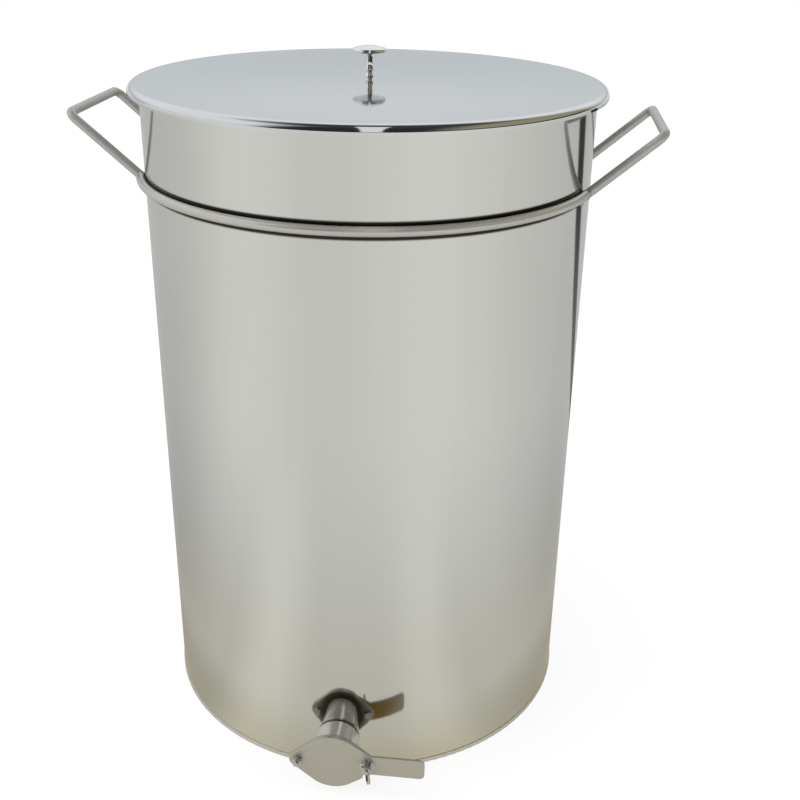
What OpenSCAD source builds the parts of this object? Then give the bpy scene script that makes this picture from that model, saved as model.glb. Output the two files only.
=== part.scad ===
// Honey settling tank: a stainless sheet cylinder with a loose lid, a welded frame of rod with two
// handles, and a swinging gate on the outlet near the bottom. Millimetres, +Z up, origin on the tank's
// axis at the underside of the base. The outlet points along -Y and the handles lie along +X and -X.

/* [Tank] */
// Outside diameter of the shell
tank_d = 500; // [440:10:600]
// Height of the rolled rim above the floor
tank_h = 755; // [720:5:900]
// Thickness of the shell, base and lid sheet
sheet_t = 1; // [0.8:0.1:1.4]
// Outside radius of the rim's outward curl
rim_curl_r = 3; // [2.5:0.5:4]
// Height of the base's turned-up rim
base_rim_h = 6; // [4:0.5:12]

/* [Handles] */
// Diameter of the rod of the handles and hoops
rod_d = 10; // [8:0.5:12]
// Distance of the hoops' centre line below the rim
hoop_drop = 98; // [75:1:160]
// Spacing of a handle's two legs, between their centre lines
handle_w = 150; // [120:1:180]
// Distance of the grip's centre line from the shell
handle_reach = 68; // [55:1:90]
// Angle at which the legs climb from the hoops to the grip
handle_rise = 41; // [30:1:48]
// Bend radius of the rod's centre line
rod_bend_r = 10; // [8:0.5:16]

/* [Outlet] */
// Height of the outlet's centre line above the floor
outlet_z = 47; // [44:1:110]
// Outside diameter of the neck
neck_d = 42.4; // [40:0.2:44]
// Clear bore from the tank to the gate
outlet_bore = 36; // [30:0.5:37]
// Length of bare neck between the shell and the sleeve
neck_bare = 1.5; // [1:0.5:45]
// Outside diameter of the sleeve
sleeve_d = 50; // [47:0.5:54]
// Length of the sleeve
sleeve_len = 35.5; // [28:0.5:45]

/* [Gate] */
// Diameter of the round middle of the flange and the gate
gate_d = 71; // [62:0.5:76]
// Distance between the pivot bolt and the clamp bolt
bolt_spacing = 80; // [74:0.5:90]
// Radius of the ears round the bolts
ear_r = 10; // [8:0.5:12]
// Thickness of the fixed flange
flange_t = 3; // [2.5:0.5:5]
// Thickness of the swinging gate plate
gate_t = 3; // [2:0.5:5]
// Distance of the lever's end from the outlet's centre line
lever_reach = 105; // [90:1:130]
// Width of the lever
lever_w = 26; // [20:1:30]
// Diameter of the pivot bolt and the clamp bolt
bolt_d = 6; // [5:0.5:6.5]
// Width across the flats of the bolt heads and the pivot nut
nut_flats = 10; // [9:0.5:12]

/* [Wing nut] */
// Distance between the tips of the wings
wing_span = 30; // [26:1:36]
// Height of the wing tips above the nut's seat
wing_h = 15; // [13:0.5:18]
// Thickness of the wings
wing_t = 2.5; // [2:0.1:3.5]
// Turn of the wings from the level
wing_turn = 75; // [0:5:90]

/* [Lid] */
// Gap between the rim's curl and the inside of the lid's edge
lid_gap = 6; // [2:0.5:9]
// Outside radius of the lid's rounded shoulder
lid_shoulder_r = 7; // [5:0.5:8]
// Depth of the lid's edge below its shoulder
lid_edge_h = 9; // [8:0.5:14]
// Rise of the lid's middle above its shoulder
lid_crown = 3; // [1:0.5:8]

/* [Knob] */
// Diameter of the knob's cap
knob_d = 38; // [28:1:44]
// Height of the knob above the lid
knob_h = 33; // [24:1:44]
// Thickness of the knob's cap
knob_cap_h = 6; // [5:0.5:9]
// Rise of the cap's domed top
knob_dome_h = 3.5; // [2:0.5:4.5]
// Diameter of the stem where it meets the cap's flare
knob_stem_top_d = 5; // [4:0.5:7]
// Diameter of the stem above its foot
knob_stem_low_d = 7.5; // [7:0.5:9]
// Diameter of the knob's foot
knob_foot_d = 10; // [9:0.5:14]
// Diameter of the screw that holds the knob
screw_d = 3.5; // [3:0.5:4.5]

/* [Hidden] */
$fn = 128;

// Every cut runs this far past the faces it opens
overrun = 2;
// Radial play of a bolt or screw in its hole
bolt_play = 0.05;

// Shell, with an open curl round its rim
shell_r = tank_d / 2;
shell_in_r = shell_r - sheet_t;
shell_foot_z = sheet_t;
curl_axis_r = shell_in_r + rim_curl_r;
curl_z = tank_h - rim_curl_r;
rim_r = curl_axis_r + rim_curl_r;

// Base
base_r = shell_r + sheet_t;
base_corner_share = 1.5;
base_corner_r = base_corner_share * sheet_t;

// Hoops: the rod is pressed a little flat where it is welded along the shell
hoop_seat = 0.3;
hoop_gap = 0.3;
hoop_z = tank_h - hoop_drop;
hoop_r = shell_r + rod_d / 2 - hoop_seat;

// Handles: the legs' centre lines run to the hoops' centre line, and each hoop ends beside the legs
handle_foot_x = sqrt(hoop_r * hoop_r - handle_w * handle_w / 4);
handle_leg = (shell_r + handle_reach - handle_foot_x) / cos(handle_rise) - rod_bend_r;
handle_sink = 2 * rod_d;
grip_half = handle_w / 2 - rod_bend_r;
hoop_end_y = handle_w / 2 + rod_d / 2 + hoop_gap;

// Outlet, measured outwards from the tank's axis
thread_play = 0.05;
neck_grip = 20;
gasket_t = 2;
sleeve_chamfer = 1.2;
sleeve_rear = shell_r + neck_bare;
sleeve_front = sleeve_rear + sleeve_len;
neck_end = sleeve_rear + neck_grip;
sleeve_shoulder = neck_end + gasket_t;
flange_front = sleeve_front + flange_t;
gate_front = flange_front + gate_t;

// Gate: the pivot is left of the outlet's centre line and the clamp bolt right of it
gate_r = gate_d / 2;
bolt_x = bolt_spacing / 2;
lever_corner_r = 6;
slot_play = 0.3;
slot_sweep = 20;
seal_inset = 1.5;
seal_in_r = outlet_bore / 2 + seal_inset;
seal_w = 4;
seal_t = 1.5;
seal_play = 0.1;

// Fasteners
bolt_head_h = 4;
bolt_tip_chamfer = 0.8;
bolt_tip = 3;
washer_t = 1.6;
pivot_washer_d = 12;
clamp_washer_d = 18;
nut_h = 5;
wing_boss_d = 11;
wing_boss_h = 8;
wing_root_r = 4;
wing_tip_r = 5;
nut_seat = gate_front + washer_t;

// Lid: it rests on the rim with a small gap, and its crown is flat under the knob
lid_seat_gap = 0.3;
lid_r = rim_r + lid_gap + sheet_t;
lid_flat_r = lid_r - lid_shoulder_r;
lid_rim_z = tank_h + lid_seat_gap + sheet_t;
lid_shoulder_z = lid_rim_z - lid_shoulder_r;
lid_edge_z = lid_rim_z - lid_edge_h;
lid_top_z = lid_rim_z + lid_crown;
lid_under_z = lid_top_z - sheet_t;
lid_seat_r = knob_foot_d;
crown_steps = 24;
shoulder_steps = 10;

// Knob
knob_r = knob_d / 2;
knob_dome_r = (knob_r * knob_r + knob_dome_h * knob_dome_h) / (2 * knob_dome_h);
knob_foot_h = 3;
knob_flare_h = 3;
knob_flare_share = 0.75;
knob_flare_r = knob_flare_share * knob_r;
knob_hole_depth = 10;
knob_washer_d = 14;
knob_washer_t = 1;
screw_head_d = 7;
screw_head_h = 2.5;
screw_grip = 8;
knob_cap_z = lid_top_z + knob_h - knob_cap_h;

// Frame of the outlet: x to the right and y up as seen from the front, z outwards from the tank's axis
module on_outlet(distance) {
    translate([0, 0, outlet_z]) rotate([90, 0, 0]) translate([0, 0, distance]) children();
}

// Two circles and the straight edges that touch both
module drawn_out(first_r, second_r, distance) {
    lean = acos((first_r - second_r) / distance);
    circle(first_r);
    translate([distance, 0]) circle(second_r);
    polygon([
        [first_r * cos(lean), first_r * sin(lean)],
        [first_r * cos(lean), -first_r * sin(lean)],
        [distance + second_r * cos(lean), -second_r * sin(lean)],
        [distance + second_r * cos(lean), second_r * sin(lean)]
    ]);
}

// Flat ring
module ring(outside_d, inside_d, thickness) {
    difference() {
        cylinder(d = outside_d, h = thickness);
        translate([0, 0, -overrun]) cylinder(d = inside_d, h = thickness + 2 * overrun);
    }
}

// Six-sided prism, for bolt heads and nuts
module hexagon(flats, height) {
    cylinder(d = flats / cos(30), h = height, $fn = 6);
}

// Bolt from behind the flange, with a chamfered tip
module flange_bolt(tip) {
    shank_len = tip - sleeve_front;
    translate([0, 0, -bolt_head_h]) hexagon(nut_flats, bolt_head_h);
    rotate_extrude() polygon([
        [0, -bolt_head_h],
        [bolt_d / 2, -bolt_head_h],
        [bolt_d / 2, shank_len - bolt_tip_chamfer],
        [bolt_d / 2 - bolt_tip_chamfer, shank_len],
        [0, shank_len]
    ]);
}

module shell_profile() {
    translate([shell_in_r, shell_foot_z]) square([sheet_t, curl_z - shell_foot_z]);
    difference() {
        translate([curl_axis_r, curl_z]) circle(rim_curl_r);
        translate([curl_axis_r, curl_z]) circle(rim_curl_r - sheet_t);
        translate([curl_axis_r - rim_curl_r - overrun, curl_z - rim_curl_r - overrun])
            square(rim_curl_r + overrun);
    }
}

// Rolled sheet cylinder with its curled rim and the hole for the neck
module tank_shell() {
    color("gainsboro") difference() {
        rotate_extrude() shell_profile();
        on_outlet(0) cylinder(d = neck_d, h = shell_r + overrun);
    }
}

// Flat bottom with a rim turned up round the foot of the shell
module base_pan() {
    color("lightgray") rotate_extrude() difference() {
        union() {
            square([base_r - base_corner_r, base_rim_h]);
            translate([0, base_corner_r]) square([base_r, base_rim_h - base_corner_r]);
            translate([base_r - base_corner_r, base_corner_r]) circle(base_corner_r);
        }
        translate([0, shell_foot_z]) square([shell_r, base_rim_h]);
    }
}

// Rod along the shell on the +Y side, from a leg of one handle to a leg of the other
module hoop() {
    difference() {
        translate([0, 0, hoop_z]) rotate_extrude() translate([hoop_r, 0]) circle(d = rod_d);
        cylinder(r = shell_r, h = tank_h);
        translate([-tank_d, hoop_end_y - tank_d, 0]) cube([2 * tank_d, tank_d, tank_h]);
    }
}

module front_hoop() {
    color("silver") mirror([0, 1, 0]) hoop();
}

module back_hoop() {
    color("silver") hoop();
}

// Half of the rod loop round its bend: a leg towards -x and half of the grip towards -y
module handle_half() {
    rotate_extrude(angle = 90) translate([rod_bend_r, 0]) circle(d = rod_d);
    translate([0, rod_bend_r, 0]) rotate([0, -90, 0]) cylinder(d = rod_d, h = handle_leg + handle_sink);
    translate([rod_bend_r, 0, 0]) rotate([90, 0, 0]) cylinder(d = rod_d, h = grip_half);
}

// Rod bent to a flat loop, before it is tilted up
module handle_loop() {
    for (side = [0, 1]) mirror([0, side, 0]) translate([handle_leg, grip_half, 0]) handle_half();
}

// Handle on the +X side, its legs cut to sit on the shell
module handle() {
    difference() {
        translate([handle_foot_x, 0, hoop_z]) rotate([0, -handle_rise, 0]) handle_loop();
        cylinder(r = shell_r, h = tank_h);
    }
}

module left_handle() {
    color("silver") mirror([1, 0, 0]) handle();
}

module right_handle() {
    color("silver") handle();
}

// Pipe stub welded into the wall, flush with the inside of the shell
module outlet_neck() {
    color("gainsboro") difference() {
        on_outlet(0) ring(neck_d, outlet_bore, neck_end);
        cylinder(r = shell_in_r, h = tank_h);
    }
}

// Ring between the end of the neck and the shoulder in the sleeve
module neck_gasket() {
    color("dimgray") on_outlet(neck_end) ring(neck_d, outlet_bore, gasket_t);
}

// Socket that screws on the neck and carries the flange
module gate_sleeve() {
    grip_r = neck_d / 2 + thread_play;
    sleeve_r = sleeve_d / 2;
    color("darkgray") on_outlet(0) rotate_extrude() polygon([
        [grip_r, sleeve_rear],
        [sleeve_r - sleeve_chamfer, sleeve_rear],
        [sleeve_r, sleeve_rear + sleeve_chamfer],
        [sleeve_r, sleeve_front],
        [outlet_bore / 2, sleeve_front],
        [outlet_bore / 2, sleeve_shoulder],
        [grip_r, sleeve_shoulder]
    ]);
}

// Fixed plate with an ear for each bolt and a groove for the seal
module gate_flange() {
    color("darkgray") on_outlet(sleeve_front) difference() {
        linear_extrude(flange_t) for (side = [0, 180]) rotate(side) drawn_out(gate_r, ear_r, bolt_x);
        translate([0, 0, -overrun]) cylinder(d = outlet_bore, h = flange_t + 2 * overrun);
        for (side = [-1, 1]) translate([side * bolt_x, 0, -overrun])
            cylinder(r = bolt_d / 2 + bolt_play, h = flange_t + 2 * overrun);
        translate([0, 0, flange_t - seal_t]) ring(2 * (seal_in_r + seal_w), 2 * seal_in_r, seal_t + overrun);
    }
}

// Rubber ring in the flange, flush with its face
module gate_seal() {
    color("dimgray") on_outlet(flange_front - seal_t)
        ring(2 * (seal_in_r + seal_w - seal_play), 2 * (seal_in_r + seal_play), seal_t);
}

// Bolt that the gate swings on
module pivot_bolt() {
    color("silver") on_outlet(sleeve_front) translate([-bolt_x, 0, 0])
        flange_bolt(nut_seat + nut_h + bolt_tip);
}

module pivot_washer() {
    color("silver") on_outlet(gate_front) translate([-bolt_x, 0, 0])
        ring(pivot_washer_d, bolt_d + 2 * bolt_play, washer_t);
}

module pivot_nut() {
    color("silver") on_outlet(nut_seat) translate([-bolt_x, 0, 0]) difference() {
        hexagon(nut_flats, nut_h);
        translate([0, 0, -overrun]) cylinder(r = bolt_d / 2 + bolt_play, h = nut_h + 2 * overrun);
    }
}

// Bolt that the wing nut turns on, long enough for the nut to back off
module clamp_bolt() {
    color("silver") on_outlet(sleeve_front) translate([bolt_x, 0, 0])
        flange_bolt(nut_seat + wing_boss_h + bolt_tip);
}

// Swinging plate: round middle, ear on the pivot, and a lever drawn out past the clamp bolt
module gate_outline() {
    lever_half = lever_w / 2;
    rotate(180) drawn_out(gate_r, ear_r, bolt_x);
    drawn_out(gate_r, lever_half, bolt_x);
    translate([bolt_x, -lever_half]) square([lever_reach - lever_corner_r - bolt_x, lever_w]);
    translate([lever_reach - 2 * lever_corner_r, lever_corner_r - lever_half])
        square([2 * lever_corner_r, lever_w - 2 * lever_corner_r]);
    for (side = [-1, 1])
        translate([lever_reach - lever_corner_r, side * (lever_half - lever_corner_r)])
            circle(lever_corner_r);
}

// The slot leaves downwards along the clamp bolt's path round the pivot
module gate_plate() {
    slot_half = bolt_d / 2 + slot_play;
    color("silver") on_outlet(flange_front) difference() {
        linear_extrude(gate_t) gate_outline();
        translate([-bolt_x, 0, -overrun]) cylinder(r = bolt_d / 2 + bolt_play, h = gate_t + 2 * overrun);
        translate([bolt_x, 0, -overrun]) cylinder(r = slot_half, h = gate_t + 2 * overrun);
        translate([-bolt_x, 0, -overrun]) rotate(-slot_sweep) rotate_extrude(angle = slot_sweep)
            translate([bolt_spacing - slot_half, 0]) square([2 * slot_half, gate_t + 2 * overrun]);
    }
}

module clamp_washer() {
    color("silver") on_outlet(gate_front) translate([bolt_x, 0, 0])
        ring(clamp_washer_d, bolt_d + 2 * bolt_play, washer_t);
}

// Round boss with two wings that lean outwards and forwards
module wing_nut() {
    wing_run = wing_span / 2 - wing_tip_r;
    wing_climb = wing_h - wing_tip_r - wing_root_r;
    wing_len = sqrt(wing_run * wing_run + wing_climb * wing_climb);
    color("silver") on_outlet(nut_seat) translate([bolt_x, 0, 0]) difference() {
        union() {
            cylinder(d = wing_boss_d, h = wing_boss_h);
            for (side = [0, 180]) rotate(side - wing_turn) rotate([90, 0, 0])
                translate([0, wing_root_r, -wing_t / 2]) linear_extrude(wing_t)
                    rotate(atan2(wing_climb, wing_run)) drawn_out(wing_root_r, wing_tip_r, wing_len);
        }
        translate([0, 0, -overrun]) cylinder(r = bolt_d / 2 + bolt_play, h = wing_h + overrun);
    }
}

// The crown's radius and height at a share of the way from the knob's seat to the shoulder
function crown_r(way_share) = lid_seat_r + (lid_flat_r - lid_seat_r) * way_share;
function crown_z(way_share) = lid_rim_z + lid_crown * pow(1 - way_share * way_share, 2);

// The lid's half section from its middle to its edge, drawn in by an inset
function lid_path(inset) = concat(
    [[0, lid_top_z - inset]],
    [for (i = [0 : crown_steps]) [crown_r(i / crown_steps), crown_z(i / crown_steps) - inset]],
    [for (i = [1 : shoulder_steps]) let (turn = 90 * i / shoulder_steps, bend_r = lid_shoulder_r - inset)
        [lid_flat_r + bend_r * sin(turn), lid_shoulder_z + bend_r * cos(turn)]],
    [[lid_r - inset, lid_edge_z]]
);

// Loose lid: crowned disc with a rounded shoulder and a short turned-down edge
module lid_disc() {
    under = lid_path(sheet_t);
    color("gainsboro") difference() {
        rotate_extrude() polygon(concat(lid_path(0), [for (i = [len(under) - 1 : -1 : 0]) under[i]]));
        translate([0, 0, lid_under_z - overrun])
            cylinder(r = screw_d / 2 + bolt_play, h = sheet_t + 2 * overrun);
    }
}

// Mushroom knob: domed cap that flares in to a thin tapered stem with a small foot
module lid_knob() {
    color("whitesmoke") difference() {
        union() {
            rotate_extrude() intersection() {
                translate([0, knob_cap_z + knob_cap_h - knob_dome_r]) circle(knob_dome_r);
                translate([0, knob_cap_z]) square([knob_r, knob_cap_h]);
            }
            rotate_extrude() polygon([
                [0, lid_top_z],
                [knob_foot_d / 2, lid_top_z],
                [knob_foot_d / 2, lid_top_z + knob_foot_h / 2],
                [knob_stem_low_d / 2, lid_top_z + knob_foot_h],
                [knob_stem_top_d / 2, knob_cap_z - knob_flare_h],
                [knob_flare_r, knob_cap_z],
                [0, knob_cap_z]
            ]);
        }
        translate([0, 0, lid_top_z - overrun])
            cylinder(r = screw_d / 2 + bolt_play, h = knob_hole_depth + overrun);
    }
}

// Washer against the underside of the lid
module knob_washer() {
    color("silver") translate([0, 0, lid_under_z - knob_washer_t])
        ring(knob_washer_d, screw_d + 2 * bolt_play, knob_washer_t);
}

// Screw through the lid into the knob's stem
module knob_screw() {
    color("silver") translate([0, 0, lid_under_z - knob_washer_t]) {
        translate([0, 0, -screw_head_h]) cylinder(d = screw_head_d, h = screw_head_h);
        cylinder(d = screw_d, h = knob_washer_t + sheet_t + screw_grip);
    }
}

tank_shell();
base_pan();
front_hoop();
back_hoop();
left_handle();
right_handle();
outlet_neck();
neck_gasket();
gate_sleeve();
gate_flange();
gate_seal();
pivot_bolt();
pivot_washer();
pivot_nut();
clamp_bolt();
gate_plate();
clamp_washer();
wing_nut();
lid_disc();
lid_knob();
knob_washer();
knob_screw();
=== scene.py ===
import math

import bpy
from mathutils import Matrix, Vector


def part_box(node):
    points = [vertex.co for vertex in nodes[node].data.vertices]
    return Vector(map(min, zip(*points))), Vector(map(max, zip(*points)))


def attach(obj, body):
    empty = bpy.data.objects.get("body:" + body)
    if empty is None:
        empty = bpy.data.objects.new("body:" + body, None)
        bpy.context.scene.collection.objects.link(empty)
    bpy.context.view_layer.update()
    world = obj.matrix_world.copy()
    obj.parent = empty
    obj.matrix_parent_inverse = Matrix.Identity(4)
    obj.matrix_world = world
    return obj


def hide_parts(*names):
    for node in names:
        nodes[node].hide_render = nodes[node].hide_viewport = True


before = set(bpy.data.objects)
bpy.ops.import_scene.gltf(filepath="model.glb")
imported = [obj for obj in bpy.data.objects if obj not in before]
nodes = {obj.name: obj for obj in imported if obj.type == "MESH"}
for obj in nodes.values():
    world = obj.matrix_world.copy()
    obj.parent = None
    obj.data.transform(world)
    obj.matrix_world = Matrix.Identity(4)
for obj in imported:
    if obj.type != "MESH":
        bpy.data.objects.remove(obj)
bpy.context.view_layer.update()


# Tank shell
# One sheet of stainless steel, polished to a mirror, rolled round and welded up the back, with its rim
# curled outwards. The welds leave a faint straw tint. Along the hoops the sheet is painted near black:
# painted shade, where the crevice between rod and wall is dark. Inside, the sheet is left satin.
class Wire:
    """A socket that takes part in sums: each operation adds a Math node to its finish."""

    def __init__(self, finish, socket):
        self.finish = finish
        self.socket = socket

    def math(self, operation, first, second=0.0):
        return self.finish.node("Math", {"operation": operation}, {0: first, 1: second})

    def __add__(self, other):
        return self.math("ADD", self, other)

    def __radd__(self, other):
        return self.math("ADD", other, self)

    def __sub__(self, other):
        return self.math("SUBTRACT", self, other)

    def __rsub__(self, other):
        return self.math("SUBTRACT", other, self)

    def __mul__(self, other):
        return self.math("MULTIPLY", self, other)

    def __rmul__(self, other):
        return self.math("MULTIPLY", other, self)

    def __truediv__(self, other):
        return self.math("DIVIDE", self, other)

    def __abs__(self):
        return self.math("ABSOLUTE", self)


class Finish:
    """The nodes of a material or of the room, added one at a time."""

    def __init__(self, owner):
        owner.use_nodes = True
        self.owner = owner
        self.tree = owner.node_tree

    def node(self, kind, settings, sockets, output=0):
        made = self.tree.nodes.new("ShaderNode" + kind)
        for name, value in settings.items():
            setattr(made, name, value)
        self.feed(made, sockets)
        return Wire(self, made.outputs[output])

    def feed(self, made, sockets):
        for name, value in sockets.items():
            if isinstance(value, Wire):
                self.tree.links.new(value.socket, made.inputs[name])
            else:
                made.inputs[name].default_value = value

    def along(self, axis, source="Object"):
        spot = self.node("TexCoord", {}, {}, source)
        return self.node("SeparateXYZ", {}, {0: spot}, axis)

    def noise(self, size, detail=2.0, stretch=(1, 1, 1)):
        spot = self.node("TexCoord", {}, {}, "Object")
        spot = self.node("Mapping", {}, {"Vector": spot, "Scale": stretch})
        return self.node("TexNoise", {}, {"Vector": spot, "Scale": 1 / size, "Detail": detail})

    def length(self, first, second):
        squared = first * first + second * second
        return squared.math("SQRT", squared)

    def rise(self, value, low, high):
        sockets = {"Value": value, "From Min": low, "From Max": high}
        return self.node("MapRange", {"interpolation_type": "SMOOTHSTEP"}, sockets)

    def blend(self, share, first, second):
        sockets = {0: share, 6: first, 7: second}
        return self.node("Mix", {"data_type": "RGBA"}, sockets, 2)

    def bump(self, height, depth):
        return self.node("Bump", {}, {"Height": height, "Distance": depth})

    def surface(self, sockets):
        self.feed(self.tree.nodes["Principled BSDF"], sockets)
        return self.owner


sheet_thickness = 0.001
shell_radius = 0.250
seam_half = 0.0015
seam_heat_half = 0.012
foot_heat_low = 0.006
foot_heat_high = 0.045
crevice_half = 0.0095
crevice_drop = 0.001
crevice_fade = 0.004
hoop_low, hoop_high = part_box("front_hoop")
hoop_height = (hoop_low.z + hoop_high.z) / 2
hoop_end = hoop_high.y
bright_sheet = (0.655, 0.655, 0.64, 1)
shaded_sheet = (0.625, 0.625, 0.61, 1)
straw_heat = (0.60, 0.53, 0.41, 1)
crevice_shade_black = (0.030, 0.027, 0.022, 1)

sheet = Finish(bpy.data.materials.new("mirror_sheet"))
haze = sheet.noise(size=0.30, detail=4.0)
streaks = sheet.noise(size=0.010, detail=2.0, stretch=(1, 1, 0.02))
waves = sheet.noise(size=0.11, detail=1.0, stretch=(1, 1, 0.22))
patches = sheet.noise(size=0.09, detail=2.0)
across = abs(sheet.along("X"))
at_back = sheet.rise(sheet.along("Y"), 0.0, 0.01)
seam = (1 - sheet.rise(across, 0.5 * seam_half, seam_half)) * at_back
seam_heat = (1 - sheet.rise(across, 0.3 * seam_heat_half, seam_heat_half)) * at_back
at_foot = 1 - sheet.rise(sheet.along("Z"), foot_heat_low, foot_heat_high)
foot_heat = at_foot * sheet.rise(patches, 0.40, 0.65)
from_axis = sheet.length(sheet.along("X"), sheet.along("Y"))
inside = sheet.rise(from_axis, shell_radius - 0.3 * sheet_thickness, shell_radius - 0.7 * sheet_thickness)
# Painted shade: a near-black band along the front and back hoops, where the crevice between rod and wall
# is dark.
between_legs = sheet.rise(abs(sheet.along("Y")), -hoop_end - crevice_fade, -hoop_end)
from_hoop = abs(sheet.along("Z") - hoop_height + crevice_drop)
along_hoop = sheet.rise(from_hoop, 1.1 * crevice_half, 0.85 * crevice_half)
painted_crevice_shade = along_hoop * between_legs * (1 - inside)
sheet_tone = sheet.blend(0.6 * streaks + 0.4 * haze, bright_sheet, shaded_sheet)
tinted = sheet.blend(0.6 * seam_heat + 0.35 * foot_heat, sheet_tone, straw_heat)
nodes["tank_shell"].material_slots[0].material = sheet.surface({
    "Metallic": 1.0 - 0.45 * inside,
    "Base Color": sheet.blend(painted_crevice_shade, tinted, crevice_shade_black),
    "Roughness": 0.045 + 0.05 * haze + 0.02 * streaks + 0.25 * seam + 0.30 * inside,
    "Normal": sheet.bump(waves + 0.04 * streaks + 0.5 * seam, depth=0.0004),
})


# Base pan
# The bottom is a flat disc of the same sheet with a rim turned up round the shell's foot and welded to
# it. It slides on benches and floors, so its rim is scuffed. The weld along the top of the rim is ground
# flat and left dull, and painted lighter and warmer than the sheet: painted light, which lifts the dark
# reflection the rim's top would show.
scuffed_sheet = (0.52, 0.51, 0.48, 1)
weld_painted_light = (0.68, 0.62, 0.50, 1)
pan_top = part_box("base_pan")[1].z
weld_depth = 0.0010
weld_solid = 0.0004

pan = Finish(bpy.data.materials.new("scuffed_sheet"))
scuffs = pan.rise(pan.noise(size=0.004, detail=4.0, stretch=(1, 1, 4)), 0.5, 0.7)
pan_haze = pan.noise(size=0.08, detail=3.0)
pan_tone = pan.blend(0.7 * scuffs, pan.blend(pan_haze, bright_sheet, shaded_sheet), scuffed_sheet)
# Painted light: the top of the rim gets a lighter, warmer colour and less metal, so its dark reflection is
# lifted.
on_weld = pan.rise(pan.along("Z"), pan_top - weld_depth, pan_top - weld_solid)
nodes["base_pan"].material_slots[0].material = pan.surface({
    "Metallic": 0.50 - 0.40 * on_weld,
    "Base Color": pan.blend(on_weld, pan_tone, weld_painted_light),
    "Roughness": 0.26 + 0.08 * pan_haze + 0.20 * scuffs,
    "Normal": pan.bump(scuffs, depth=0.00004),
})


# Hoops and handles
# All are drawn stainless rod with a satin surface, duller on the handles from use. Each handle is bent to
# a loop, and a hoop runs along the shell between the legs in front, and another at the back. The welds are
# lumpy and tinted by heat.
def satin(name, light, dark, roughness, line, stretch):
    """Satin steel with fine drawn or brushed lines and faint handling marks."""
    made = Finish(bpy.data.materials.new(name))
    lines = made.noise(size=line, detail=3.0, stretch=stretch)
    marks = made.noise(size=0.03, detail=4.0)
    return made.surface({
        "Metallic": 0.60,
        "Base Color": made.blend(0.7 * lines + 0.3 * marks, light, dark),
        "Roughness": roughness + 0.10 * lines + 0.10 * marks,
        "Normal": made.bump(lines + 0.5 * marks, depth=0.000012),
    })


rod_light = (0.62, 0.605, 0.57, 1)
rod_dark = (0.48, 0.465, 0.435, 1)
grip_light = (0.57, 0.56, 0.535, 1)
grip_dark = (0.45, 0.44, 0.415, 1)
heat_brown = (0.42, 0.36, 0.27, 1)
drawn_line = 0.0016
rod_finish = satin("satin_rod", rod_light, rod_dark, roughness=0.22, line=drawn_line, stretch=(1, 1, 1))
grip_finish = satin("worn_rod", grip_light, grip_dark, roughness=0.36, line=drawn_line, stretch=(1, 1, 1))
for node in ["front_hoop", "back_hoop"]:
    nodes[node].material_slots[0].material = rod_finish
for node in ["left_handle", "right_handle"]:
    nodes[node].material_slots[0].material = grip_finish

weld = Finish(bpy.data.materials.new("weld_steel"))
lumps = weld.noise(size=0.0022, detail=3.0)
tints = weld.noise(size=0.006, detail=2.0)
weld_finish = weld.surface({
    "Metallic": 1.0,
    "Base Color": weld.blend(tints, rod_light, heat_brown),
    "Roughness": 0.24 + 0.25 * lumps,
    "Normal": weld.bump(lumps, depth=0.0003),
})


def weld_ring(name, ring_radius, middle, outward, bead_size, ripples, on_shell):
    """A lumpy weld round a rod or pipe. On the shell it is pushed along the rod to meet the wall."""
    clear_of_wall = 0.05
    bpy.ops.object.select_all(action="DESELECT")
    bpy.ops.mesh.primitive_torus_add(
        location=middle, rotation=outward.to_track_quat("Z", "Y").to_euler(),
        major_segments=12 * ripples, minor_segments=12,
        major_radius=ring_radius, minor_radius=bead_size)
    ring = bpy.context.object
    ring.name = name
    bpy.ops.object.transform_apply(location=True, rotation=True, scale=False)
    sideways = outward.orthogonal().normalized()
    upright = outward.cross(sideways)
    for vertex in ring.data.vertices:
        reach = vertex.co - middle
        turn = math.atan2(reach.dot(upright), reach.dot(sideways))
        spoke = math.cos(turn) * sideways + math.sin(turn) * upright
        seat = middle + ring_radius * spoke
        from_ring = vertex.co - seat
        if on_shell:
            seat = nodes["tank_shell"].ray_cast(seat + clear_of_wall * outward, -outward)[1]
        swell = 1 + 0.10 * math.sin(ripples * turn) + 0.08 * math.sin(3 * turn + 1)
        vertex.co = seat + swell * from_ring
    bpy.ops.object.shade_smooth()
    ring.data.materials.append(weld_finish)
    return ring


rod_radius = 0.005
rod_path = 0.2547
leg_spread = 0.075
leg_rise = math.radians(41)
leg_reach = math.sqrt(rod_path ** 2 - leg_spread ** 2)
leg_bead = 0.0015
tip_reach = math.sqrt(rod_path ** 2 - hoop_end ** 2)
tip_bead = 0.0013
tip_radius = rod_radius - 0.0006
for side, side_name in [(-1, "left"), (1, "right")]:
    for end, end_name in [(-1, "front"), (1, "back")]:
        leg_foot = Vector((side * leg_reach, end * leg_spread, hoop_height))
        leg_way = Vector((side * math.cos(leg_rise), 0, math.sin(leg_rise)))
        hoop_tip = Vector((side * tip_reach, -end * hoop_end, hoop_height))
        beads = [
            weld_ring(f"{side_name}_{end_name}_weld", rod_radius, leg_foot, leg_way,
                      bead_size=leg_bead, ripples=11, on_shell=True),
            weld_ring(f"{side_name}_{end_name}_hoop_weld", tip_radius, hoop_tip, Vector((0, 1, 0)),
                      bead_size=tip_bead, ripples=9, on_shell=False),
        ]
        for bead in beads:
            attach(bead, "tank")


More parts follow.
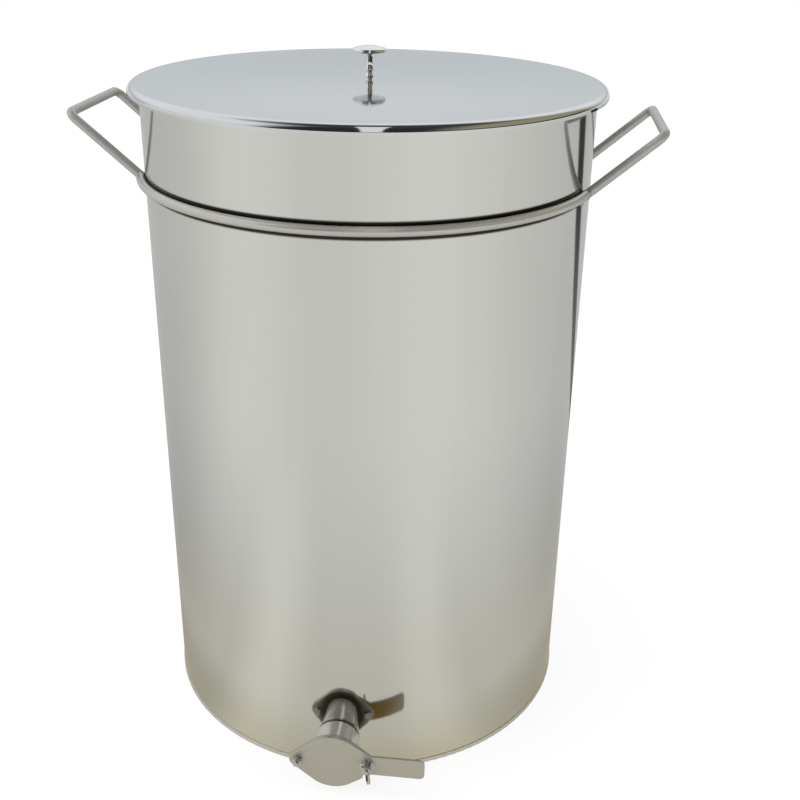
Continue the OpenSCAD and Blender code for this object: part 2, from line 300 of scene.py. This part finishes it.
# Outlet neck
# A short polished stainless pipe welded into the wall. The sleeve screws on to it and hides all but the
# weld.
def polished(name, light, dark, roughness, wave):
    """Mirror steel with a faint haze, wiping streaks and a slightly uneven face."""
    made = Finish(bpy.data.materials.new(name))
    cloud = made.noise(size=0.02, detail=4.0)
    wipes = made.noise(size=0.0015, detail=2.0, stretch=(1, 1, 0.1))
    return made.surface({
        "Metallic": 1.0,
        "Base Color": made.blend(0.5 * cloud + 0.5 * wipes, light, dark),
        "Roughness": roughness + 0.06 * cloud + 0.03 * wipes,
        "Normal": made.bump(cloud + 0.1 * wipes, depth=wave),
    })


pipe_light = (0.70, 0.69, 0.67, 1)
pipe_dark = (0.58, 0.57, 0.55, 1)
neck_finish = polished("polished_pipe", pipe_light, pipe_dark, roughness=0.05, wave=0.00005)
nodes["outlet_neck"].material_slots[0].material = neck_finish

neck_low, neck_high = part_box("outlet_neck")
neck_radius = neck_high.x
outlet_height = (neck_low.z + neck_high.z) / 2
outlet_middle = Vector((0, -shell_radius, outlet_height))
outlet_way = Vector((0, -1, 0))
neck_bead = 0.0010
neck_weld = weld_ring("neck_weld", neck_radius, outlet_middle, outlet_way,
                      bead_size=neck_bead, ripples=24, on_shell=True)
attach(neck_weld, "tank")


# Gaskets
# The ring between the end of the neck and the sleeve, and the seal let into the flange, on which the gate
# plate slides, are moulded black rubber. Both are held by the pieces they are pressed between.
fresh_rubber = (0.030, 0.030, 0.030, 1)
bloomed_rubber = (0.075, 0.072, 0.068, 1)
rubber = Finish(bpy.data.materials.new("black_rubber"))
grain = rubber.noise(size=0.0008, detail=3.0)
bloom = rubber.noise(size=0.01, detail=3.0)
rubber_finish = rubber.surface({
    "Base Color": rubber.blend(bloom, fresh_rubber, bloomed_rubber),
    "Roughness": 0.55 + 0.25 * grain,
    "Normal": rubber.bump(grain, depth=0.00004),
})
nodes["neck_gasket"].material_slots[0].material = rubber_finish
nodes["gate_seal"].material_slots[0].material = rubber_finish


# Sleeve and flange
# The sleeve is a turned socket that screws on to the neck. The flange, cut from thick plate, is welded
# to its front. Both are satin, with their edges broken by a file.
same_place = 1e-6


def eased_copy(node, name, width, body, finish):
    """The same piece as a node, with its sharp edges rounded over."""
    sharp = math.radians(35)
    flat = math.radians(0.5)
    bpy.ops.object.select_all(action="DESELECT")
    piece = bpy.data.objects.new(name, nodes[node].data.copy())
    bpy.context.scene.collection.objects.link(piece)
    bpy.context.view_layer.objects.active = piece
    piece.select_set(True)
    bpy.ops.mesh.customdata_custom_splitnormals_clear()
    bpy.ops.object.mode_set(mode="EDIT")
    bpy.ops.mesh.select_all(action="SELECT")
    bpy.ops.mesh.remove_doubles(threshold=same_place)
    bpy.ops.mesh.dissolve_limited(angle_limit=flat)
    bpy.ops.object.mode_set(mode="OBJECT")
    bevel = piece.modifiers.new("eased edges", "BEVEL")
    bevel.width = width
    bevel.segments = 3
    bevel.limit_method = "ANGLE"
    bevel.angle_limit = sharp
    bevel.harden_normals = True
    bpy.ops.object.shade_smooth_by_angle(angle=sharp)
    bpy.ops.object.modifier_apply(modifier=bevel.name)
    piece.data.materials.clear()
    piece.data.materials.append(finish)
    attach(piece, body)
    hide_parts(node)


def paint_back_shade(material, back, tone, near, far):
    """Painted shade on the back of a plate, which faces the wall, fading between two distances from the
    outlet's middle.
    """
    skin = 0.0008
    skin_solid = 0.0003
    made = Finish(material)
    shader = made.tree.nodes["Principled BSDF"]
    plain = Wire(made, shader.inputs["Base Color"].links[0].from_socket)
    from_middle = made.length(made.along("X"), made.along("Z") - outlet_height)
    on_back = made.rise(made.along("Y"), back - skin, back - skin_solid)
    share = on_back * made.rise(from_middle, far, near)
    made.feed(shader, {"Base Color": made.blend(share, plain, tone)})


plate_light = (0.565, 0.545, 0.475, 1)
plate_dark = (0.465, 0.45, 0.39, 1)
socket_light = (0.82, 0.80, 0.74, 1)
socket_dark = (0.68, 0.66, 0.61, 1)
back_shade_black = (0.05, 0.042, 0.03, 1)
plate_roughness = 0.26
socket_roughness = 0.10
brushed_line = 0.0007
brushed_across = (0.15, 1, 1)
turned_round = (0.25, 1, 0.25)
filed_edge = 0.0004
flange_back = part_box("gate_flange")[1].y
turned_finish = satin("turned_socket", socket_light, socket_dark,
                      socket_roughness, brushed_line, turned_round)
flange_finish = satin("back_shaded_plate", plate_light, plate_dark,
                      plate_roughness, brushed_line, brushed_across)
# Painted shade: the flange's back, facing the wall, is near black round the sleeve.
paint_back_shade(flange_finish, flange_back, back_shade_black, near=0.029, far=0.045)
eased_copy("gate_sleeve", "turned_sleeve", filed_edge, "tank", turned_finish)
eased_copy("gate_flange", "filed_flange", filed_edge, "tank", flange_finish)


# Gate
# The swinging plate and its lever are one piece of thick satin plate, cut to shape and filed smooth
# where the fingers push it. Its back, facing the wall, is painted straw brown round the outlet: painted
# shade, tinted brown.
back_shade_brown = (0.32, 0.22, 0.06, 1)
pushed_edge = 0.0006
gate_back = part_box("gate_plate")[1].y
plate_finish = satin("satin_plate", plate_light, plate_dark,
                     plate_roughness, brushed_line, brushed_across)
# Painted shade: the back of the gate plate is straw brown round the outlet.
paint_back_shade(plate_finish, gate_back, back_shade_brown, near=0.055, far=0.125)
eased_copy("gate_plate", "filed_gate", pushed_edge, "gate", plate_finish)


# Bolts
# Two stainless bolts come through the flange from behind, with chamfered six-sided heads and threaded
# shanks. The gate swings on the left one and the wing nut turns on the right one.
bolt_radius = 0.003
thread_pitch = 0.001
thread_depth = 0.0005
thread_steps = 24
head_flats = 0.010
bolt_light = (0.68, 0.68, 0.67, 1)
bolt_dark = (0.52, 0.52, 0.51, 1)
bolt_finish = polished("bright_fastener", bolt_light, bolt_dark, roughness=0.20, wave=0.00004)


def chamfered_hexagon(flats, low, high):
    """A six-sided prism along z with its corners turned off at both ends."""
    height = high - low
    middle = (low + high) / 2
    corner = flats / math.sqrt(3)
    side_fit = 1.03
    end_fit = 0.95
    bpy.ops.object.select_all(action="DESELECT")
    bpy.ops.mesh.primitive_cylinder_add(vertices=6, radius=corner, depth=height, location=(0, 0, middle))
    prism = bpy.context.object
    bpy.ops.mesh.primitive_uv_sphere_add(segments=64, ring_count=48, radius=1, location=(0, 0, middle))
    ball = bpy.context.object
    ball.scale = (side_fit * corner, side_fit * corner, end_fit * height)
    cut = prism.modifiers.new("turned corners", "BOOLEAN")
    cut.operation = "INTERSECT"
    cut.object = ball
    bpy.context.view_layer.objects.active = prism
    bpy.ops.object.modifier_apply(modifier=cut.name)
    bpy.data.objects.remove(ball)
    return prism


def thread(low, high):
    """A screw thread along z between two heights."""
    turns = int((high - low) / thread_pitch)
    bpy.ops.object.select_all(action="DESELECT")
    bpy.ops.mesh.primitive_plane_add(size=thread_depth, location=(bolt_radius - thread_depth, 0, low))
    flank = bpy.context.object
    bpy.ops.object.mode_set(mode="EDIT")
    bpy.ops.mesh.merge(type="CENTER")
    bpy.ops.mesh.extrude_region_move(
        TRANSFORM_OT_translate={"value": (thread_depth, 0, thread_pitch / 2)})
    bpy.ops.mesh.extrude_region_move(
        TRANSFORM_OT_translate={"value": (-thread_depth, 0, thread_pitch / 2)})
    bpy.ops.object.mode_set(mode="OBJECT")
    bpy.ops.object.transform_apply(location=True, rotation=False, scale=False)
    coil = flank.modifiers.new("thread", "SCREW")
    coil.screw_offset = thread_pitch
    coil.iterations = turns
    coil.steps = thread_steps
    coil.render_steps = thread_steps
    coil.use_merge_vertices = True
    bpy.ops.object.modifier_apply(modifier=coil.name)
    bpy.ops.object.mode_set(mode="EDIT")
    bpy.ops.mesh.select_all(action="SELECT")
    bpy.ops.mesh.remove_doubles(threshold=same_place)
    bpy.ops.mesh.normals_make_consistent(inside=False)
    bpy.ops.object.mode_set(mode="OBJECT")
    return flank


def joined(name, pieces, turn, place):
    """Pieces made along z, joined into one object, turned and put in place."""
    bpy.ops.object.select_all(action="DESELECT")
    for piece in pieces:
        piece.select_set(True)
    bpy.context.view_layer.objects.active = pieces[0]
    bpy.ops.object.join()
    whole = bpy.context.object
    whole.name = name
    bpy.ops.object.transform_apply(location=True, rotation=True, scale=True)
    whole.data.transform(Matrix.Translation(place) @ turn)
    bpy.ops.object.shade_smooth_by_angle(angle=math.radians(30))
    return whole


facing_out = Matrix.Rotation(math.radians(90), 4, "X")
for node, name in [("pivot_bolt", "threaded_pivot"), ("clamp_bolt", "threaded_clamp")]:
    bolt_low, bolt_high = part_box(node)
    head_height = bolt_high.y - flange_back
    shank = flange_back - bolt_low.y
    head = chamfered_hexagon(head_flats, -head_height, 0)
    shank_thread = thread(0, shank - 2 * thread_pitch)
    bpy.ops.object.select_all(action="DESELECT")
    bpy.ops.mesh.primitive_cylinder_add(
        vertices=48, radius=bolt_radius - 0.6 * thread_depth, depth=shank, location=(0, 0, shank / 2))
    core = bpy.context.object
    tip = core.modifiers.new("turned tip", "BEVEL")
    tip.width = thread_depth
    tip.segments = 2
    bpy.ops.object.modifier_apply(modifier=tip.name)
    bolt_place = Vector(((bolt_low.x + bolt_high.x) / 2, flange_back, outlet_height))
    bolt = joined(name, [core, shank_thread, head], facing_out, bolt_place)
    bolt.data.materials.append(bolt_finish)
    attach(bolt, "tank")
    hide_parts(node)


# Nut, washers and wing nut
# A plain washer and a chamfered nut hold the gate on its pivot. A wider washer and a cast wing nut
# clamp it on the other side. All are bright stainless.
nut_low, nut_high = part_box("pivot_nut")
nut_place = Vector(((nut_low.x + nut_high.x) / 2, nut_high.y, outlet_height))
nut_play = 0.00005
drill_length = 0.03
washer_edge = 0.0002
cast_edge = 0.0006
nut_body = chamfered_hexagon(head_flats, 0, nut_high.y - nut_low.y)
bpy.ops.object.select_all(action="DESELECT")
bpy.ops.mesh.primitive_cylinder_add(
    vertices=48, radius=bolt_radius + nut_play, depth=drill_length, location=(0, 0, 0))
drill = bpy.context.object
bore = nut_body.modifiers.new("bore", "BOOLEAN")
bore.operation = "DIFFERENCE"
bore.object = drill
bpy.context.view_layer.objects.active = nut_body
bpy.ops.object.modifier_apply(modifier=bore.name)
bpy.data.objects.remove(drill)
nut = joined("chamfered_nut", [nut_body], facing_out, nut_place)
nut.data.materials.append(bolt_finish)
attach(nut, "tank")
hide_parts("pivot_nut")

eased_copy("pivot_washer", "plain_washer", washer_edge, "tank", bolt_finish)
eased_copy("clamp_washer", "wide_washer", washer_edge, "clamp", bolt_finish)
eased_copy("wing_nut", "cast_wing_nut", cast_edge, "wing", bolt_finish)


# Lid
# A loose disc of mirror sheet, slightly crowned, with a rounded shoulder and a short turned-down edge.
# It is spun over a former, so its polish runs in faint rings.
def arc(middle, radius, first, last, steps):
    """Points of (radius, height) on an arc, with angles in degrees from level."""
    angles = [math.radians(first + (last - first) * step / steps) for step in range(steps + 1)]
    return [(middle[0] + radius * math.cos(a), middle[1] + radius * math.sin(a)) for a in angles]


def lathe(name, outline, steps):
    """An outline of (radius, height) points from axis to axis, spun round the tank's axis."""
    bpy.ops.object.select_all(action="DESELECT")
    bpy.ops.mesh.primitive_plane_add(size=0.001, location=(outline[0][0], 0, outline[0][1]))
    piece = bpy.context.object
    piece.name = name
    bpy.ops.object.mode_set(mode="EDIT")
    bpy.ops.mesh.merge(type="CENTER")
    for (r, z), (next_r, next_z) in zip(outline, outline[1:]):
        bpy.ops.mesh.extrude_region_move(TRANSFORM_OT_translate={"value": (next_r - r, 0, next_z - z)})
    bpy.ops.mesh.select_all(action="SELECT")
    bpy.ops.mesh.spin(steps=steps, angle=2 * math.pi, center=(0, 0, 0), axis=(0, 0, 1))
    bpy.ops.mesh.select_all(action="SELECT")
    bpy.ops.mesh.remove_doubles(threshold=same_place)
    bpy.ops.mesh.normals_make_consistent(inside=False)
    bpy.ops.object.mode_set(mode="OBJECT")
    bpy.ops.object.transform_apply(location=True, rotation=False, scale=False)
    bpy.ops.object.shade_smooth_by_angle(angle=math.radians(40))
    return piece


lid_low, lid_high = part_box("lid_disc")
lid_radius = lid_high.x
shoulder_radius = 0.007
lid_crown = 0.003
crown_seat = 0.010
crown_steps = 40
shoulder_steps = 14
lid_steps = 192
crown_edge = lid_radius - shoulder_radius
lid_rim = lid_high.z - lid_crown


def lid_face(inset):
    """The lid's face from its middle to its edge, drawn in by an inset."""
    shares = [step / crown_steps for step in range(crown_steps + 1)]
    crown = [(crown_seat + (crown_edge - crown_seat) * share,
              lid_rim + lid_crown * (1 - share ** 2) ** 2 - inset) for share in shares]
    shoulder = arc((crown_edge, lid_rim - shoulder_radius), shoulder_radius - inset,
                   first=90, last=0, steps=shoulder_steps)
    return [(0, lid_high.z - inset)] + crown + shoulder[1:] + [(lid_radius - inset, lid_low.z)]


lid_piece = lathe("spun_lid", lid_face(0) + lid_face(sheet_thickness)[::-1], lid_steps)
lid_light = (0.68, 0.69, 0.70, 1)
lid_dark = (0.62, 0.635, 0.645, 1)
ring_size = 1 / 700
lid = Finish(bpy.data.materials.new("mirror_lid"))
lid_haze = lid.noise(size=0.20, detail=4.0)
ring_place = lid.length(lid.along("X"), lid.along("Y"))
rings = lid.node("TexNoise", {"noise_dimensions": "1D"},
                 {"W": ring_place, "Scale": 1 / ring_size, "Detail": 2.0})
lid_piece.data.materials.append(lid.surface({
    "Metallic": 1.0,
    "Base Color": lid.blend(0.5 * lid_haze + 0.5 * rings, lid_light, lid_dark),
    "Roughness": 0.02 + 0.04 * lid_haze + 0.02 * rings,
    "Normal": lid.bump(lid_haze + 0.02 * rings, depth=0.0004),
}))
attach(lid_piece, "lid")
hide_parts("lid_disc")


# Knob
# A chromed mushroom knob: a domed cap, hollowed in underneath to a stem that swells towards a notch and
# a small spreading foot. A screw through the lid holds it, with a washer on the underside.
knob_low, knob_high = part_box("lid_knob")
knob_radius = knob_high.x
knob_base = knob_low.z
knob_steps = 64
cap_roll = 0.0022
cap_reach = knob_radius - cap_roll / 2
dome_rise = 0.0038
dome_radius = (knob_radius ** 2 + dome_rise ** 2) / (2 * dome_rise)
dome_angle = math.degrees(math.asin((knob_radius - cap_roll) / dome_radius))
roll_height = knob_high.z - dome_rise - 0.6 * cap_roll
under_depth = 0.0045
under_start = roll_height - 0.9 * cap_roll
stem_top = 0.0034
stem_swell = 0.0046
stem_start = under_start - under_depth
swell_height = knob_base + 0.0075
foot_radius = 0.005
foot_outline = [(0.0044, 0.0066), (0.0036, 0.0058), (0.0032, 0.0050), (0.0032, 0.0040), (0.0037, 0.0026),
                (0.0044, 0.0012), (foot_radius, 0.0005), (foot_radius, 0), (0, 0)]
chrome_light = (0.80, 0.80, 0.81, 1)
chrome_dark = (0.70, 0.70, 0.72, 1)

dome = arc((0, knob_high.z - dome_radius), dome_radius, first=90, last=90 - dome_angle, steps=16)
cap_edge = arc((knob_radius - cap_roll, roll_height), cap_roll, first=60, last=-70, steps=10)
stem_steps = 10
stem_shares = [step / stem_steps for step in range(1, stem_steps + 1)]
under_cap = [(cap_reach - (cap_reach - stem_top) * share ** 0.8,
              under_start - under_depth * (0.65 * share + 0.35 * share ** 6)) for share in stem_shares]
stem = [(stem_top + (stem_swell - stem_top) * share ** 4,
         stem_start + (swell_height - stem_start) * share) for share in stem_shares]
notch_and_foot = [(radius, knob_base + height) for radius, height in foot_outline]
knob = lathe("chromed_knob", dome + cap_edge + under_cap + stem + notch_and_foot, knob_steps)
knob_finish = polished("chrome_plate", chrome_light, chrome_dark, roughness=0.02, wave=0.00002)
knob.data.materials.append(knob_finish)
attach(knob, "lid")
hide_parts("lid_knob")
nodes["knob_washer"].material_slots[0].material = bolt_finish
nodes["knob_screw"].material_slots[0].material = bolt_finish


# Camera
# It stands in front and a little to the right of the outlet, and looks down on the tank.
camera_turn = math.radians(7.8)
camera_distance = 1.2476
camera_height = 0.9469
look_down = math.radians(24.960)
look_aside = math.radians(1.812)
camera_roll = math.radians(0.943)
camera_lens = 49.41
camera_data = bpy.data.cameras.new("camera")
camera_data.lens = camera_lens
camera = bpy.data.objects.new("camera", camera_data)
bpy.context.scene.collection.objects.link(camera)
turned = Matrix.Rotation(camera_turn, 4, "Z")
aimed = Matrix.Rotation(-look_aside, 4, "Z") @ Matrix.Rotation(math.radians(90) - look_down, 4, "X")
camera.matrix_world = (turned @ Matrix.Translation((0, -camera_distance, camera_height)) @ aimed
                       @ Matrix.Rotation(camera_roll, 4, "Z"))
bpy.context.scene.camera = camera


# Room
# Polished steel shows white paper behind the tank and on the floor, a dark ceiling, and the unlit side of
# the room in front, with one tall narrow window between a white wall on the left and an olive one on the
# right. Other surfaces get an even soft light.
front = (math.sin(camera_turn), -math.cos(camera_turn), 0)
right = (math.cos(camera_turn), math.sin(camera_turn), 0)
room = Finish(bpy.data.worlds.new("room"))
bpy.context.scene.world = room.owner
ray_way = room.node("TexCoord", {}, {}, "Generated")
ray_up = room.along("Z", "Generated")
ray_front = room.node("VectorMath", {"operation": "DOT_PRODUCT"}, {0: ray_way, 1: front}, "Value")
ray_right = room.node("VectorMath", {"operation": "DOT_PRODUCT"}, {0: ray_way, 1: right}, "Value")
dark_room = (0.03, 0.03, 0.03, 1)
olive_wall = (0.36, 0.33, 0.22, 1)
white_wall = (0.92, 0.92, 0.92, 1)
paper_low = (0.55, 0.585, 0.61, 1)
paper_high = (0.95, 0.97, 0.98, 1)
ceiling = (0.05, 0.055, 0.05, 1)
daylight = (0.95, 0.95, 0.95, 1)
far_floor = (0.84, 0.84, 0.80, 1)
soft_light = (0.88, 0.88, 0.88, 1)
white = (1, 1, 1, 1)
window_aside = 0.017
window_half = 0.095
window_clear = 0.070

raised = room.rise(ray_up, 0.10, 0.30)
turned_back = 0 - ray_front - 0.85 * ray_right * raised - 0.6 * (1 - raised)
front_side = room.blend(room.rise(ray_right, 0.35, 0.75) * raised, dark_room, olive_wall)
front_side = room.blend(room.rise(0 - ray_right, 0.68, 0.88), front_side, white_wall)
back_paper = room.blend(room.rise(ray_up, 0.03, 0.40), paper_low, paper_high)
walls = room.blend(room.rise(turned_back, -0.25, 0.25), front_side, back_paper)
walls = room.blend(room.rise(ray_up, 0.75, 0.97), walls, ceiling)
window = room.rise(abs(ray_right - window_aside), window_half, window_clear)
window = window * room.rise(ray_front, 0.0, 0.12) * room.rise(ray_up, 0.05, 0.15)
walls = room.blend(window, walls, daylight)
walls = room.blend(room.rise(ray_up, 0.05, 0.0), walls, far_floor)
is_seen = room.node("LightPath", {}, {}, "Is Camera Ray")
is_mirrored = room.node("LightPath", {}, {}, "Is Glossy Ray")
shown = room.blend(is_mirrored, soft_light, walls)
room.feed(room.tree.nodes["Background"], {"Color": room.blend(is_seen, shown, white)})


# Floor
# White paper under the tank, seen white. In the steel it glows with painted light instead: warmer and
# dimmer close to the tank, a painted shade, with soft painted pools of light to the left and to the right
# of the camera. Its back edge on the right shows dark.
floor_half = 8.0
bpy.ops.object.select_all(action="DESELECT")
bpy.ops.mesh.primitive_plane_add(size=2 * floor_half, location=(0, 0, 0))
floor = bpy.context.object
floor.name = "floor"
paper = Finish(bpy.data.materials.new("white_paper"))
paper_spot = paper.node("TexCoord", {}, {}, "Object")
from_tank = paper.node("VectorMath", {"operation": "LENGTH"}, {0: paper_spot}, "Value")
to_front = paper.node("VectorMath", {"operation": "DOT_PRODUCT"}, {0: paper_spot, 1: front}, "Value")
to_right = paper.node("VectorMath", {"operation": "DOT_PRODUCT"}, {0: paper_spot, 1: right}, "Value")
bearing = to_right.math("ARCTAN2", to_right, to_front) * (180 / math.pi)


def paper_light(behind, ahead, wide, narrow, pools):
    """Light on the paper by its bearing from the tank: dim behind, even ahead, with brighter pools."""
    light = behind + (ahead - behind) * paper.rise(abs(bearing), wide, narrow)
    for middle, half, glow in pools:
        light = light + glow * paper.rise(abs(bearing - middle), half, 0.0)
    return light


near_pools = [(-40, 22, 0.18), (23, 20, 0.14)]
far_pools = [(-62, 40, 0.10), (30, 50, 0.10)]
near_light = paper_light(behind=0.55, ahead=0.80, wide=125, narrow=45, pools=near_pools)
far_light = paper_light(behind=0.60, ahead=0.90, wide=175, narrow=50, pools=far_pools)
floor_light = near_light + (far_light - near_light) * paper.rise(from_tank, 0.30, 1.20)
side_shade = 0.10 * paper.rise(bearing, -70, -130) + 0.04 * paper.rise(bearing, 70, 130)
floor_light = floor_light * (1 - side_shade * paper.rise(from_tank, 2.2, 1.0))
by_foot = paper.rise(from_tank, 0.36, 0.25)
foot_shade = 0.10 + 0.20 * paper.rise(abs(bearing), 25, 65)
floor_light = floor_light * (1 - by_foot * foot_shade)

warm_paper = (0.86, 0.835, 0.735, 1)
cool_paper = (0.90, 0.91, 0.87, 1)
foot_paper = (0.86, 0.825, 0.65, 1)
paper_tone = paper.blend(paper.rise(from_tank, 0.25, 0.75), warm_paper, cool_paper)
paper_tone = paper.blend(by_foot, paper_tone, foot_paper)
mirrored_paper = paper.node("VectorMath", {"operation": "SCALE"}, {0: paper_tone, "Scale": floor_light})

near_edge = (0.17, 0.17, 0.17, 1)
far_edge = (0.045, 0.045, 0.05, 1)
edge_slope = 0.685
edge_distance = 0.424
edge_drift = 0.035
from_edge = abs((to_front + edge_slope * to_right + edge_distance) / from_tank - edge_drift)
back_edge = paper.rise(from_edge, 0.110, 0.075) * paper.rise(to_right, 0.2, 0.4)
edge_tone = paper.blend(paper.rise(from_tank, 0.8, 3.0), near_edge, far_edge)
mirrored_paper = paper.blend(back_edge, mirrored_paper, edge_tone)

plain_grey = (0.8, 0.8, 0.8, 1)
shade_grey = (0.27, 0.27, 0.27, 1)
plain_paper = paper.node("BsdfDiffuse", {}, {"Color": plain_grey})
bright_paper = paper.node("Emission", {}, {"Color": mirrored_paper, "Strength": 1.0})
seen_glow = paper.node("Emission", {}, {"Color": white, "Strength": 0.80})
seen_shade = paper.node("BsdfDiffuse", {}, {"Color": shade_grey})
seen_paper = paper.node("AddShader", {}, {0: seen_glow, 1: seen_shade})
floor_seen = paper.node("LightPath", {}, {}, "Is Camera Ray")
floor_mirrored = paper.node("LightPath", {}, {}, "Is Glossy Ray")
unseen_paper = paper.node("MixShader", {}, {0: floor_mirrored, 1: plain_paper, 2: bright_paper})
whole_paper = paper.node("MixShader", {}, {0: floor_seen, 1: unseen_paper, 2: seen_paper})
paper.feed(paper.tree.nodes["Material Output"], {"Surface": whole_paper})
floor.data.materials.append(paper.owner)


# Lamp
# A wide soft lamp overhead to the left gives the tank its soft shadow. The steel doesn't mirror it.
lamp_place = (-1.6, -0.9, 2.6)
lamp_aim = Vector((1.6, 0.9, -2.2))
lamp_data = bpy.data.lights.new("soft_lamp", "AREA")
lamp_data.size = 1.2
lamp_data.energy = 12
soft_lamp = bpy.data.objects.new("soft_lamp", lamp_data)
bpy.context.scene.collection.objects.link(soft_lamp)
soft_lamp.location = lamp_place
soft_lamp.rotation_euler = lamp_aim.to_track_quat("-Z", "Y").to_euler()
soft_lamp.visible_glossy = False


# Picture
# Colours are shown as they are written.
bpy.context.scene.view_settings.view_transform = "Standard"
